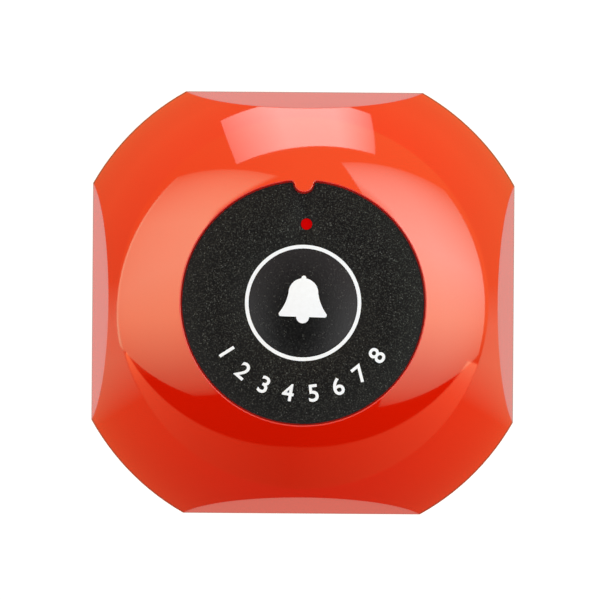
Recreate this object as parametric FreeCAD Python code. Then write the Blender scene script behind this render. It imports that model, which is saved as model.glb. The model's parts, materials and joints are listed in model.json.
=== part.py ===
import FreeCAD, Part
import math
import os

# Waiter call button: a low domed case with four flat sides, a printed face label sunk in its top
# and a round push button in the label's middle. Inside are a circuit board, a push switch, a signal
# lamp, a wound antenna coil and one 12 V cylinder battery. The case stands on an adhesive pad.
#
# Millimetres. The origin is the middle of the rest face, +Z points up out of the button, and +Y
# points at the lamp and at the tab of the case that keys the label.

# ---- Case ----
case_width = 60.0              # across opposite flat sides, at the foot of the case
case_corner_radius = 34.4      # from the middle to a rounded corner, at the foot
rim_height = 18.9              # from the foot of the case to the rim of the label recess
flat_draft_deg = 14.3          # how far each flat side leans inward
flat_edge_round = 0.3          # rounding where a flat side meets the dome
rim_round = 0.12               # rounding of the label recess's rim
wall = 2.2                     # case wall, square to its surface
roof_thickness = 2.0           # under the label recess
lip_thickness = 1.0            # thin skirt of the case round the base plate

# ---- Label recess and its tab ----
label_radius = 16.65
label_thickness = 0.3
label_clearance = 0.2          # round the label, and round the tab
recess_depth = 0.7             # from the rim to the floor that the label is glued to
tab_tip_radius = 1.3
tab_depth = 1.65               # how far the tab reaches in from the recess wall
tab_shoulder_radius = 0.5      # of the curves that lead from the recess wall into the tab
lamp_window_radius = 0.8
ink_thickness = 0.04
ink_clearance = 0.01           # between a curved face and the ink on it
ring_gap = 0.05                # from the button's hole to the printed ring
ring_width = 0.5

# ---- Push button ----
button_radius = 7.4
button_rise = 0.65             # crown of the button above the label
film_gap = 0.05                # between the button's edge and the label
button_travel = 0.5
stop_clearance = 0.05          # left under the plunger at the end of its travel
plunger_disc_thickness = 0.65
plunger_edge_step = 0.1        # the plunger's disc is this much smaller than the button
plunger_boss_radius = 4.8
plunger_boss_length = 0.8
plunger_clearance = 0.4        # round the plunger's disc
boss_clearance = 0.2           # round the plunger's boss
free_play = 0.25               # between the plunger and the switch stem

# ---- Base plate, pad and gasket ----
liner_thickness = 0.1
pad_thickness = 0.7
pad_side = 34.0
pad_corner_radius = 4.0
base_thickness = 2.0
base_fit = 0.15                # between the base plate and the case lip
gasket_thickness = 0.6
gasket_seat_fit = 0.1          # from the case wall's inner face to the gasket seat's edge

# ---- Base screws and their bosses ----
screw_boss_radius = 2.8
boss_wall_bite = 0.3           # how deep a boss merges with the case wall
base_screw_radius = 1.1
base_screw_length = 6.0
base_screw_head_radius = 2.1
base_screw_head_height = 1.1
screw_hole_clearance = 0.2
head_clearance = 0.2           # round a screw head
head_sink = 0.1                # how deep a base screw's head lies below the base plate's face
thread_clearance = 0.02
pilot_end_room = 0.6           # below a screw's tip
cross_slot_width = 0.5
cross_slot_reach = 1.1
cross_slot_depth = 0.6

# ---- Circuit board and its standoffs ----
board_thickness = 1.6
board_clearance = 0.5          # from the board's edge to the case
board_boss_clearance = 0.4     # from the board's edge to a screw boss
standoff_radius = 2.25
standoff_edge_margin = 5.5     # from the board's edge to the middle of an upper standoff
standoff_angle_deg = 43.0      # of an upper standoff, from the X axis
standoff_notch_margin = 1.6    # from the battery notch to a lower standoff
board_screw_radius = 1.0
board_screw_length = 4.6
board_screw_head_radius = 1.9
board_screw_head_height = 1.2

# ---- Battery: a 12 V cell of the A23 size ----
battery_radius = 5.15
battery_length = 28.5
battery_nub_radius = 2.0
battery_nub_length = 1.0
battery_wrap_thickness = 0.15
battery_wrap_end = 0.4         # bare metal at each end of the wrap
battery_floor_gap = 0.5        # from the base plate to the battery
battery_side_room = 0.5        # from the battery's end rim to the case
battery_notch_margin = 0.35    # from the battery to the board
sleeve_fit = 0.02              # round a sleeve or in a cradle

# ---- Battery contacts and supports ----
blade_thickness = 0.3
blade_width = 5.6
blade_drop = 3.4               # how far a blade reaches below the battery's axis
blade_foot_reach = 2.0         # on the board
blade_foot_margin = 0.3        # from a foot's corner to the board's rim
blade_notch_fit = 0.1
spring_length = 4.5
spring_wire_radius = 0.25
spring_base_radius = 1.85
spring_tip_radius = 1.25
spring_turns = 3.0
spring_end_gap = 0.03
cradle_thickness = 1.5
cradle_spacing = 16.0
cradle_depth = 2.5             # how far the cradles' tops are below the battery's axis
support_thickness = 1.5
support_margin = 0.5           # a support is this much wider than a blade, on each side
support_board_gap = 0.5

# ---- Push switch ----
switch_side = 6.0
switch_height = 7.0            # from the board to the top of the stem
switch_body_height = 3.5
switch_cover_thickness = 0.3
switch_floor_thickness = 0.6
switch_stem_radius = 1.75
switch_stem_fit = 0.06
switch_flange_radius = 2.2
switch_flange_play = 0.05
switch_well_clearance = 0.15   # round the stem's flange
snap_dome_clearance = 0.25     # round the snap dome, in the same well
snap_dome_height = 0.4
snap_dome_thickness = 0.08
terminal_width = 0.7
terminal_thickness = 0.3
terminal_spacing = 4.5
terminal_rise = 0.9            # how far a terminal reaches up the switch's side

# ---- Signal lamp ----
lamp_x = 0.4
lamp_well_wall = 1.5           # between the lamp's hole and the plunger's well
lamp_radius = 1.5
lamp_flange_radius = 1.9
lamp_flange_height = 1.0
lamp_length = 5.3
lamp_label_gap = 0.7           # from the lamp's tip to the label, for the window
lamp_hole_clearance = 0.15
window_lamp_gap = 0.05         # from the lamp's tip to the window over it
window_fit = 0.03              # round the window, in its hole and in the label
lead_side = 0.5
lead_spacing = 2.54
lead_tail = 0.9                # how far a lead or a terminal stands out below the board
lead_hole_clearance = 0.15

# ---- Antenna coil ----
coil_lamp_gap = 0.55
coil_radius = 1.9
coil_wire_radius = 0.3
coil_turns = 8
coil_pitch = 1.4
coil_board_gap = 0.2

# ---- Board parts ----
middle_row_y = 4.3             # of the chip and the crystal
upper_row_y = 10.3             # of the transistor and two capacitors
chip_switch_gap = 3.5          # from the switch to the chip's pins
chip_length = 5.0
chip_width = 4.0
chip_height = 1.4
chip_standoff = 0.1
chip_pin_count = 4             # on each side
chip_pin_pitch = 1.27
chip_pin_width = 0.4
chip_pin_thickness = 0.2
chip_pin_reach = 1.0
chip_pin_foot = 0.5
crystal_switch_gap = 2.0
crystal_length = 11.0
crystal_width = 4.6
crystal_height = 3.5
crystal_lead_spacing = 4.88
crystal_lead_radius = 0.22
transistor_x = -8.5
transistor_length = 2.9
transistor_width = 1.3
transistor_height = 1.1
small_part_length = 2.0
small_part_width = 1.25
resistor_height = 0.5
capacitor_height = 0.9
small_part_row_margin = 2.3    # from the battery notch to the row of resistors
resistor_row_x = (-8.5, -5.2, 5.2, 8.5)
lower_capacitor_x = 6.8        # on each side
upper_capacitor_x = 5.6        # on each side

# ---- Bell sign on the button ----
bell_turn_deg = -1.5
bell_crown_radius = 2.05
bell_crown_y = 1.35
bell_knob_radius = 0.36
bell_waist = (2.43, 0.0)
bell_skirt_tip = (3.24, -1.4)
bell_skirt_corner = (3.27, -1.74)
bell_base_half_width = 3.02
bell_base_y = -1.92
bell_clapper_radius = 0.88

# ---- Places worked out from the sizes above ----
flat_draft = math.radians(flat_draft_deg)
foot_z = liner_thickness + pad_thickness
base_top_z = foot_z + base_thickness
gasket_seat_z = base_top_z - gasket_thickness

rim_z = foot_z + rim_height
recess_radius = label_radius + label_clearance
recess_floor_z = rim_z - recess_depth
roof_z = recess_floor_z - roof_thickness
label_top_z = recess_floor_z + label_thickness

# The dome is a sphere through the foot's corner circle and the rim of the recess.
dome_centre_drop = (case_corner_radius**2 - recess_radius**2 - rim_height**2) / (2.0 * rim_height)
dome_radius = math.hypot(case_corner_radius, dome_centre_drop)
dome_centre_z = foot_z - dome_centre_drop
dome_top_z = dome_centre_z + dome_radius

button_hole_radius = button_radius + film_gap
plunger_disc_radius = button_radius - plunger_edge_step
plunger_well_radius = plunger_disc_radius + plunger_clearance
lamp_hole_radius = lamp_radius + lamp_hole_clearance
lamp_y = plunger_well_radius + lamp_well_wall + lamp_hole_radius
plunger_disc_bottom_z = recess_floor_z - plunger_disc_thickness
plunger_bottom_z = plunger_disc_bottom_z - plunger_boss_length
ledge_z = plunger_disc_bottom_z - button_travel - stop_clearance
stem_top_z = plunger_bottom_z - free_play
switch_well_radius = switch_flange_radius + switch_well_clearance
board_top_z = stem_top_z - switch_height
board_bottom_z = board_top_z - board_thickness
tail_z = board_bottom_z - lead_tail
coil_y = lamp_y + lamp_flange_radius + coil_lamp_gap + coil_wire_radius + coil_radius
chip_x = -(switch_side / 2.0 + chip_switch_gap + chip_pin_reach + chip_width / 2.0)
crystal_x = switch_side / 2.0 + crystal_switch_gap + crystal_length / 2.0

battery_z = base_top_z + battery_floor_gap + battery_radius
battery_axis_length = battery_length + spring_length
blade_face_x = battery_axis_length / 2.0
battery_end_x = blade_face_x - battery_nub_length
battery_start_x = -blade_face_x + spring_length
notch_half_length = blade_face_x + blade_thickness + blade_notch_fit
blade_foot_end_x = notch_half_length + blade_foot_reach


def vec(x, y, z):
    return FreeCAD.Vector(x, y, z)


def cylinder(radius, low_z, high_z, x=0.0, y=0.0):
    """Upright cylinder between two heights."""
    return Part.makeCylinder(radius, high_z - low_z, vec(x, y, low_z))


def cylinder_x(radius, low_x, high_x, y, z):
    """Cylinder that lies along X."""
    return Part.makeCylinder(radius, high_x - low_x, vec(low_x, y, z), vec(1, 0, 0))


def box(low_x, high_x, low_y, high_y, low_z, high_z):
    """Box between two corners."""
    return Part.makeBox(high_x - low_x, high_y - low_y, high_z - low_z, vec(low_x, low_y, low_z))


def box_on(x, y, length_x, length_y, low_z, high_z):
    """Box round an upright middle line."""
    half_x = length_x / 2.0
    half_y = length_y / 2.0
    return box(x - half_x, x + half_x, y - half_y, y + half_y, low_z, high_z)


def mirrored_pair(shape):
    """The shape and its mirror image across the YZ plane."""
    return [shape, shape.mirror(vec(0, 0, 0), vec(1, 0, 0))]


# ---- Case envelope ----
def flat_half_width(inset, z):
    """Distance from the middle to a flat side, offset inward by inset, at a height."""
    return case_width / 2.0 - inset / math.cos(flat_draft) - (z - foot_z) * math.tan(flat_draft)


def dome_plan_radius(inset, z):
    """Radius of the dome, offset inward by inset, at a height."""
    return math.sqrt((dome_radius - inset) ** 2 - (z - dome_centre_z) ** 2)


def square_wire(half_width, z):
    corners = [
        vec(-half_width, -half_width, z),
        vec(half_width, -half_width, z),
        vec(half_width, half_width, z),
        vec(-half_width, half_width, z),
    ]
    return Part.makePolygon(corners + corners[:1])


def envelope(inset, low_z, high_z):
    """Solid inside the case's outer surface, offset inward by inset, between two heights."""
    ball = Part.makeSphere(dome_radius - inset)
    ball.rotate(vec(0, 0, 0), vec(0, 0, 1), 45.0)
    ball.translate(vec(0, 0, dome_centre_z))
    wires = [square_wire(flat_half_width(inset, z), z) for z in (low_z, high_z)]
    frustum = Part.makeLoft(wires, True, True)
    return ball.common(frustum)


def is_flat_edge(edge):
    """True for an arc where a flat side meets the dome."""
    middle = edge.valueAt((edge.FirstParameter + edge.LastParameter) / 2.0)
    reach = max(abs(middle.x), abs(middle.y))
    on_flat = abs(reach - flat_half_width(0.0, middle.z)) < 1.0e-4
    return on_flat and edge.BoundBox.ZLength > flat_edge_round


def is_rim_edge(edge):
    """True for an arc of the label recess's rim, where its upright wall meets the dome."""
    middle = edge.valueAt((edge.FirstParameter + edge.LastParameter) / 2.0)
    on_dome = abs(middle.distanceToPoint(vec(0, 0, dome_centre_z)) - dome_radius) < 1.0e-4
    return on_dome and math.hypot(middle.x, middle.y) < recess_radius + 1.0e-4


def rounded_envelope():
    """The case's outer solid with the label recess, and its flat sides' edges and rim rounded."""
    below = flat_edge_round * 4.0
    tall = envelope(0.0, foot_z - below, dome_top_z + 1.0)
    edges = [edge for edge in tall.Edges if is_flat_edge(edge)]
    rounded = tall.makeFillet(flat_edge_round, edges) if edges else tall
    sunk = rounded.cut(recess_plan(0.0, recess_floor_z, dome_top_z + 1.0))
    sunk = sunk.makeFillet(rim_round, [edge for edge in sunk.Edges if is_rim_edge(edge)])
    foot_cut = box_on(0, 0, case_width * 2.0, case_width * 2.0, foot_z - 2.0 * below, foot_z)
    return sunk.cut(foot_cut)


# ---- Screws, their holes and places ----
def screw(radius, length, head_radius, head_height, seat_z, x, y):
    """Pan head screw driven upward: its head hangs below seat_z and has a cross slot."""
    shank = cylinder(radius, seat_z, seat_z + length, x, y)
    head = cylinder(head_radius, seat_z - head_height, seat_z, x, y)
    low_z = seat_z - head_height
    slot_z = low_z + cross_slot_depth
    slot_x = box_on(x, y, 2.0 * cross_slot_reach, cross_slot_width, low_z, slot_z)
    slot_y = box_on(x, y, cross_slot_width, 2.0 * cross_slot_reach, low_z, slot_z)
    return shank.fuse(head).removeSplitter().cut(slot_x.fuse(slot_y))


def base_screw_places():
    """Middles of the four corner bosses."""
    reach = dome_plan_radius(wall, base_top_z) - screw_boss_radius + boss_wall_bite
    offset = reach / math.sqrt(2.0)
    return [(sx * offset, sy * offset) for sx in (-1, 1) for sy in (-1, 1)]


def board_plan_radius():
    return dome_plan_radius(wall, board_top_z) - board_clearance


def battery_y():
    """The battery lies as far out toward -Y as its end rim and its contacts' feet can go."""
    room = dome_radius - wall - battery_side_room
    end_x = max(abs(battery_start_x), abs(battery_end_x))
    axis_distance = math.sqrt(room**2 - end_x**2) - battery_radius
    rim_limit = math.sqrt(axis_distance**2 - (battery_z - dome_centre_z) ** 2)
    foot_room = math.sqrt(board_plan_radius() ** 2 - blade_foot_end_x**2)
    foot_limit = foot_room - blade_foot_margin - blade_width / 2.0
    return -min(rim_limit, foot_limit)


def notch_edge_y():
    return battery_y() + battery_radius + battery_notch_margin


def standoff_places():
    """Middles of the four standoffs that carry the board."""
    reach = board_plan_radius() - standoff_edge_margin
    angle = math.radians(standoff_angle_deg)
    x = reach * math.cos(angle)
    high_y = reach * math.sin(angle)
    low_y = notch_edge_y() + standoff_notch_margin + standoff_radius
    return [(-x, low_y), (x, low_y), (-x, high_y), (x, high_y)]


def base_screw_seat_z():
    return foot_z + head_sink + base_screw_head_height


# ---- Case parts ----
def recess_plan(inset, low_z, high_z):
    """Slab with the plan of the label recess: a disc with the tab's notch at +Y, offset inward."""
    tip_centre = vec(0, recess_radius - tab_depth + tab_tip_radius, 0)
    shoulder_reach = recess_radius - tab_shoulder_radius
    between = tab_tip_radius + tab_shoulder_radius
    shoulder_y = (shoulder_reach**2 - between**2 + tip_centre.y**2) / (2.0 * tip_centre.y)
    shoulder_centre = vec(math.sqrt(shoulder_reach**2 - shoulder_y**2), shoulder_y, 0)

    outward = shoulder_centre / shoulder_reach
    inward = (tip_centre - shoulder_centre) / between
    bisector = (outward + inward).normalize()
    radius = recess_radius - inset
    mouth = outward * radius
    bend = shoulder_centre + bisector * (tab_shoulder_radius - inset)
    flank = tip_centre - inward * (tab_tip_radius + inset)
    tip = tip_centre - vec(0, tab_tip_radius + inset, 0)

    def flip(point):
        return vec(-point.x, point.y, 0)

    arcs = [
        Part.Arc(mouth, bend, flank),
        Part.Arc(flank, tip, flip(flank)),
        Part.Arc(flip(flank), flip(bend), flip(mouth)),
        Part.Arc(flip(mouth), vec(0, -radius, 0), mouth),
    ]
    face = Part.Face(Part.Wire([arc.toShape() for arc in arcs]))
    face.translate(vec(0, 0, low_z))
    return face.extrude(vec(0, 0, high_z - low_z))


def upper_shell():
    """The domed case: skirt, walls, roof with the label recess, bosses and standoffs."""
    shell = rounded_envelope()
    shell = shell.cut(envelope(wall, base_top_z, roof_z))
    shell = shell.cut(envelope(lip_thickness, foot_z, base_top_z))

    inner = envelope(wall / 2.0, base_top_z, recess_floor_z)
    columns = [cylinder(screw_boss_radius, base_top_z, roof_z, x, y) for x, y in base_screw_places()]
    columns += [cylinder(standoff_radius, board_top_z, recess_floor_z, x, y) for x, y in standoff_places()]
    for column in columns:
        shell = shell.fuse(column.common(inner))

    base_pilot_top = base_screw_seat_z() + base_screw_length + pilot_end_room
    board_pilot_top = board_bottom_z + board_screw_length + pilot_end_room
    cuts = [
        cylinder(base_screw_radius + thread_clearance, base_top_z, base_pilot_top, x, y)
        for x, y in base_screw_places()
    ]
    cuts += [
        cylinder(board_screw_radius + thread_clearance, board_top_z, board_pilot_top, x, y)
        for x, y in standoff_places()
    ]
    cuts += [
        cylinder(plunger_well_radius, ledge_z, recess_floor_z),
        cylinder(plunger_boss_radius + boss_clearance, roof_z, ledge_z),
        cylinder(lamp_hole_radius, roof_z, recess_floor_z, lamp_x, lamp_y),
    ]
    for cut in cuts:
        shell = shell.cut(cut)
    return shell


def face_label():
    """Printed film glued in the recess, with a hole for the button and a window for the lamp."""
    film = recess_plan(label_clearance, recess_floor_z, label_top_z)
    film = film.cut(cylinder(button_hole_radius, recess_floor_z, label_top_z))
    return film.cut(cylinder(lamp_window_radius, recess_floor_z, label_top_z, lamp_x, lamp_y))


def label_ring_print():
    """White ring printed round the button."""
    top_z = label_top_z + ink_thickness
    inner_radius = button_hole_radius + ring_gap
    outer = cylinder(inner_radius + ring_width, label_top_z, top_z)
    return outer.cut(cylinder(inner_radius, label_top_z, top_z))


def base_plate():
    """Flat base with screw holes, a gasket seat, battery cradles and contact supports."""
    plate = envelope(lip_thickness + base_fit, foot_z, base_top_z)
    seat = envelope(0.0, gasket_seat_z, base_top_z)
    seat = seat.cut(envelope(wall + gasket_seat_fit, gasket_seat_z, base_top_z))
    plate = plate.cut(seat)
    for x, y in base_screw_places():
        plate = plate.cut(cylinder(base_screw_radius + screw_hole_clearance, foot_z, base_top_z, x, y))
        head_room = cylinder(base_screw_head_radius + head_clearance, foot_z, base_screw_seat_z(), x, y)
        plate = plate.cut(head_room)

    y = battery_y()
    cradle_half_width = battery_radius + battery_notch_margin / 2.0
    cradle_top_z = battery_z - cradle_depth
    support_half_width = blade_width / 2.0 + support_margin
    cell_room = cylinder_x(battery_radius + sleeve_fit, -blade_face_x, blade_face_x, y, battery_z)
    cradle = box(
        (cradle_spacing - cradle_thickness) / 2.0,
        (cradle_spacing + cradle_thickness) / 2.0,
        y - cradle_half_width,
        y + cradle_half_width,
        base_top_z,
        cradle_top_z,
    )
    support = box(
        blade_face_x + blade_thickness,
        blade_face_x + blade_thickness + support_thickness,
        y - support_half_width,
        y + support_half_width,
        base_top_z,
        board_bottom_z - support_board_gap,
    )
    ribs = mirrored_pair(cradle.cut(cell_room)) + mirrored_pair(support)
    return plate.multiFuse(ribs).removeSplitter()


def base_gasket():
    """Soft seal pressed between the base plate's edge and the case."""
    outer = envelope(lip_thickness + base_fit, gasket_seat_z, base_top_z)
    return outer.cut(envelope(wall + gasket_seat_fit, gasket_seat_z, base_top_z))


def base_screws():
    screws = [
        screw(
            base_screw_radius,
            base_screw_length,
            base_screw_head_radius,
            base_screw_head_height,
            base_screw_seat_z(),
            x,
            y,
        )
        for x, y in base_screw_places()
    ]
    return Part.makeCompound(screws)


def rounded_square(low_z, high_z):
    """Square slab with rounded upright corners."""
    slab = box_on(0, 0, pad_side, pad_side, low_z, high_z)
    upright = [edge for edge in slab.Edges if edge.BoundBox.ZLength > (high_z - low_z) / 2.0]
    return slab.makeFillet(pad_corner_radius, upright)


def adhesive_pad():
    return rounded_square(liner_thickness, foot_z)


def release_liner():
    return rounded_square(0.0, liner_thickness)


# ---- Push button ----
def crown_radius():
    """Radius of the sphere that the button's top belongs to."""
    return (button_radius**2 + button_rise**2) / (2.0 * button_rise)


def crown_ball(offset):
    """Ball of the button's crown, raised by an offset."""
    centre_z = label_top_z + button_rise - crown_radius()
    ball = Part.makeSphere(crown_radius() + offset)
    ball.translate(vec(0, 0, centre_z))
    return ball


def button_dome():
    """Raised round middle of the film, the part that is pressed."""
    body = cylinder(button_radius, recess_floor_z, dome_top_z)
    under = cylinder(plunger_disc_radius, recess_floor_z, dome_top_z).common(crown_ball(-label_thickness))
    return body.common(crown_ball(0.0)).cut(under)


def button_plunger():
    """Stiff disc bonded under the button, with a boss that meets the switch stem."""
    disc = cylinder(plunger_disc_radius, plunger_disc_bottom_z, dome_top_z)
    disc = disc.common(crown_ball(-label_thickness))
    boss = cylinder(plunger_boss_radius, plunger_bottom_z, plunger_disc_bottom_z)
    return disc.fuse(boss).removeSplitter()


def bell_outline():
    """Closed outline of the bell sign, at height 0."""
    knob_y = bell_crown_y + bell_crown_radius
    knob_reach = bell_knob_radius * 0.9
    crown_start_y = bell_crown_y + math.sqrt(bell_crown_radius**2 - knob_reach**2)
    crown_middle = bell_crown_radius * math.sqrt(0.5)
    shoulder = (bell_crown_radius, bell_crown_y)

    def arc(start, middle, end):
        points = [vec(x, y, 0) for x, y in (start, middle, end)]
        return Part.Arc(*points).toShape()

    def line(start, end):
        return Part.LineSegment(vec(start[0], start[1], 0), vec(end[0], end[1], 0)).toShape()

    def flip(point):
        return (-point[0], point[1])

    base_end = (bell_base_half_width, bell_base_y)
    clapper_end = (bell_clapper_radius, bell_base_y)
    crown_start = (knob_reach, crown_start_y)
    crown_bend = (crown_middle, bell_crown_y + crown_middle)
    right = [
        (crown_start, crown_bend, shoulder),
        (shoulder, bell_waist, bell_skirt_tip),
        (bell_skirt_tip, bell_skirt_corner, base_end),
    ]
    edges = [arc(flip(crown_start), (0.0, knob_y + bell_knob_radius), crown_start)]
    edges += [arc(*points) for points in right]
    edges.append(line(base_end, clapper_end))
    edges.append(arc(clapper_end, (0.0, bell_base_y - bell_clapper_radius), flip(clapper_end)))
    edges.append(line(flip(clapper_end), flip(base_end)))
    edges += [arc(flip(end), flip(middle), flip(start)) for start, middle, end in reversed(right)]
    return Part.Wire(edges)


def bell_print():
    """White bell printed on the button's crown."""
    face = Part.Face(bell_outline())
    prism = face.extrude(vec(0, 0, dome_top_z))
    prism.rotate(vec(0, 0, 0), vec(0, 0, 1), bell_turn_deg)
    upper = prism.common(box_on(0, 0, case_width, case_width, label_top_z, dome_top_z))
    return upper.common(crown_ball(ink_clearance + ink_thickness)).cut(crown_ball(ink_clearance))


# ---- Circuit board ----
def lead_places():
    """Middles of the lamp's two leads."""
    return [(lamp_x - lead_spacing / 2.0, lamp_y), (lamp_x + lead_spacing / 2.0, lamp_y)]


def terminal_places():
    """Middles of the switch's four terminals."""
    x = (switch_side + terminal_thickness) / 2.0
    y = terminal_spacing / 2.0
    return [(sx * x, sy * y) for sx in (-1, 1) for sy in (-1, 1)]


def crystal_lead_places():
    half = crystal_lead_spacing / 2.0
    return [(crystal_x - half, middle_row_y), (crystal_x + half, middle_row_y)]


def coil_length():
    return coil_pitch * (coil_turns + 0.5)


def coil_leg_places():
    """Where the coil's two legs meet the board, with their lean along X."""
    half = coil_length() / 2.0
    lean = coil_leg_lean()
    return [(-half - lean, coil_y + coil_radius), (half + lean, coil_y - coil_radius)]


def coil_axis_z():
    return board_top_z + coil_board_gap + coil_wire_radius + coil_radius


def coil_leg_length():
    return coil_axis_z() - tail_z


def coil_leg_lean():
    """How far a leg moves along X on its way from the coil's axis to its tip."""
    return coil_leg_length() * coil_pitch / (2.0 * math.pi * coil_radius)


def circuit_board():
    """Board that fills the case's plan, with a notch for the battery and drilled for its parts."""
    plan = cylinder(board_plan_radius(), board_bottom_z, board_top_z)
    side = 2.0 * (flat_half_width(wall, board_top_z) - board_clearance)
    board = plan.common(box_on(0, 0, side, side, board_bottom_z, board_top_z))
    board = board.cut(
        box(
            -notch_half_length,
            notch_half_length,
            -case_corner_radius,
            notch_edge_y(),
            board_bottom_z,
            board_top_z,
        )
    )
    holes = [(x, y, screw_boss_radius + board_boss_clearance) for x, y in base_screw_places()]
    holes += [(x, y, board_screw_radius + screw_hole_clearance) for x, y in standoff_places()]
    lead_radius = lead_side / math.sqrt(2.0) + lead_hole_clearance
    holes += [(x, y, lead_radius) for x, y in lead_places()]
    terminal_radius = math.hypot(terminal_width, terminal_thickness) / 2.0 + lead_hole_clearance
    holes += [(x, y, terminal_radius) for x, y in terminal_places()]
    holes += [(x, y, crystal_lead_radius + lead_hole_clearance) for x, y in crystal_lead_places()]
    leg_lean_in_board = coil_leg_lean() / 2.0
    for x, y in coil_leg_places():
        hole_x = x - math.copysign(leg_lean_in_board / 2.0, x)
        holes.append((hole_x, y, coil_wire_radius + leg_lean_in_board + lead_hole_clearance))
    for x, y, radius in holes:
        board = board.cut(cylinder(radius, board_bottom_z, board_top_z, x, y))
    return board


def board_screws():
    screws = [
        screw(
            board_screw_radius,
            board_screw_length,
            board_screw_head_radius,
            board_screw_head_height,
            board_bottom_z,
            x,
            y,
        )
        for x, y in standoff_places()
    ]
    return Part.makeCompound(screws)


# ---- Push switch ----
def switch_body():
    """Square switch housing with a round well for the snap dome and the stem's flange."""
    top_z = board_top_z + switch_body_height - switch_cover_thickness
    body = box_on(0, 0, switch_side, switch_side, board_top_z, top_z)
    return body.cut(cylinder(switch_well_radius, board_top_z + switch_floor_thickness, top_z))


def switch_cover_plate():
    top_z = board_top_z + switch_body_height
    low_z = top_z - switch_cover_thickness
    plate = box_on(0, 0, switch_side, switch_side, low_z, top_z)
    return plate.cut(cylinder(switch_stem_radius + switch_stem_fit, low_z, top_z))


def switch_terminals():
    top_z = board_top_z + terminal_rise
    pins = [
        box_on(x, y, terminal_thickness, terminal_width, tail_z, top_z) for x, y in terminal_places()
    ]
    return Part.makeCompound(pins)


def switch_snap_dome():
    """Thin spring dome that closes the contacts and pushes the stem back up."""
    floor_z = board_top_z + switch_floor_thickness
    foot_radius = switch_well_radius - snap_dome_clearance
    ball_radius = (foot_radius**2 + snap_dome_height**2) / (2.0 * snap_dome_height)
    centre = vec(0, 0, floor_z + snap_dome_height - ball_radius)
    cap = Part.makeSphere(ball_radius, centre).cut(Part.makeSphere(ball_radius - snap_dome_thickness, centre))
    return cap.common(cylinder(switch_well_radius, floor_z, floor_z + snap_dome_height))


def switch_stem():
    """Round stem, held in by a flange under the cover plate."""
    bottom_z = board_top_z + switch_floor_thickness + snap_dome_height + switch_flange_play
    flange_z = board_top_z + switch_body_height - switch_cover_thickness - switch_flange_play
    flange = cylinder(switch_flange_radius, bottom_z, flange_z)
    return flange.fuse(cylinder(switch_stem_radius, bottom_z, stem_top_z)).removeSplitter()


# ---- Signal lamp ----
def lamp_bottom_z():
    return recess_floor_z - lamp_label_gap - lamp_length


def lamp_lens():
    """Round lamp with a flange and a ball end."""
    bottom_z = lamp_bottom_z()
    neck_z = bottom_z + lamp_length - lamp_radius
    flange = cylinder(lamp_flange_radius, bottom_z, bottom_z + lamp_flange_height, lamp_x, lamp_y)
    body = cylinder(lamp_radius, bottom_z, neck_z, lamp_x, lamp_y)
    tip = Part.makeSphere(lamp_radius, vec(lamp_x, lamp_y, neck_z))
    return flange.fuse(body).fuse(tip).removeSplitter()


def lamp_window():
    """Tinted plug in the lamp's hole, with a nub that fills the hole in the label."""
    low_z = recess_floor_z - lamp_label_gap + window_lamp_gap
    plug = cylinder(lamp_hole_radius - window_fit, low_z, recess_floor_z, lamp_x, lamp_y)
    nub = cylinder(lamp_window_radius - window_fit, recess_floor_z, label_top_z, lamp_x, lamp_y)
    return plug.fuse(nub).removeSplitter()


def lamp_leads():
    leads = [box_on(x, y, lead_side, lead_side, tail_z, lamp_bottom_z()) for x, y in lead_places()]
    return Part.makeCompound(leads)


def lamp_spacer():
    """Sleeve that holds the lamp up off the board."""
    sleeve = cylinder(lamp_flange_radius, board_top_z, lamp_bottom_z(), lamp_x, lamp_y)
    radius = lead_side / math.sqrt(2.0) + sleeve_fit
    for x, y in lead_places():
        sleeve = sleeve.cut(cylinder(radius, board_top_z, lamp_bottom_z(), x, y))
    return sleeve


# ---- Battery and its contacts ----
def battery_can():
    """Metal case of the cell, with its nub toward +X."""
    y = battery_y()
    can_radius = battery_radius - battery_wrap_thickness
    can = cylinder_x(can_radius, battery_start_x, battery_end_x, y, battery_z)
    nub = cylinder_x(battery_nub_radius, battery_end_x, blade_face_x, y, battery_z)
    return can.fuse(nub)


def battery_wrap():
    """Printed sleeve round the cell."""
    y = battery_y()
    low_x = battery_start_x + battery_wrap_end
    high_x = battery_end_x - battery_wrap_end
    bore_radius = battery_radius - battery_wrap_thickness + sleeve_fit
    sleeve = cylinder_x(battery_radius, low_x, high_x, y, battery_z)
    return sleeve.cut(cylinder_x(bore_radius, low_x, high_x, y, battery_z))


def plate_contact():
    """Flat spring blade at the nub end, bent over the board's edge."""
    y = battery_y()
    foot_top_z = board_top_z + blade_thickness
    blade_back_x = blade_face_x + blade_thickness
    half = blade_width / 2.0
    blade = box(blade_face_x, blade_back_x, y - half, y + half, battery_z - blade_drop, foot_top_z)
    foot = box(blade_back_x, blade_foot_end_x, y - half, y + half, board_top_z, foot_top_z)
    return blade.fuse(foot).removeSplitter()


def spring_contact():
    """The same blade at the other end, behind the spring."""
    return plate_contact().mirror(vec(0, 0, 0), vec(1, 0, 0))


def sweep_round(path, wire_radius, start, direction):
    """Round wire swept along a path that starts at a point, in a direction."""
    circle = Part.Wire([Part.makeCircle(wire_radius, start, direction)])
    return path.makePipeShell([circle], True, True)


def battery_spring():
    """Cone of round wire between the blade and the flat end of the cell."""
    end_room = spring_wire_radius + spring_end_gap
    height = spring_length - 2.0 * end_room
    cone_deg = math.degrees(math.atan2(spring_tip_radius - spring_base_radius, height))
    helix = Part.makeHelix(height / spring_turns, height, spring_base_radius, cone_deg)
    start = vec(spring_base_radius, 0, 0)
    coil = sweep_round(Part.Wire(helix.Edges), spring_wire_radius, start, vec(0, 1, 0))
    coil.rotate(vec(0, 0, 0), vec(0, 1, 0), 90.0)
    coil.translate(vec(-blade_face_x + end_room, battery_y(), battery_z))
    return coil


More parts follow.
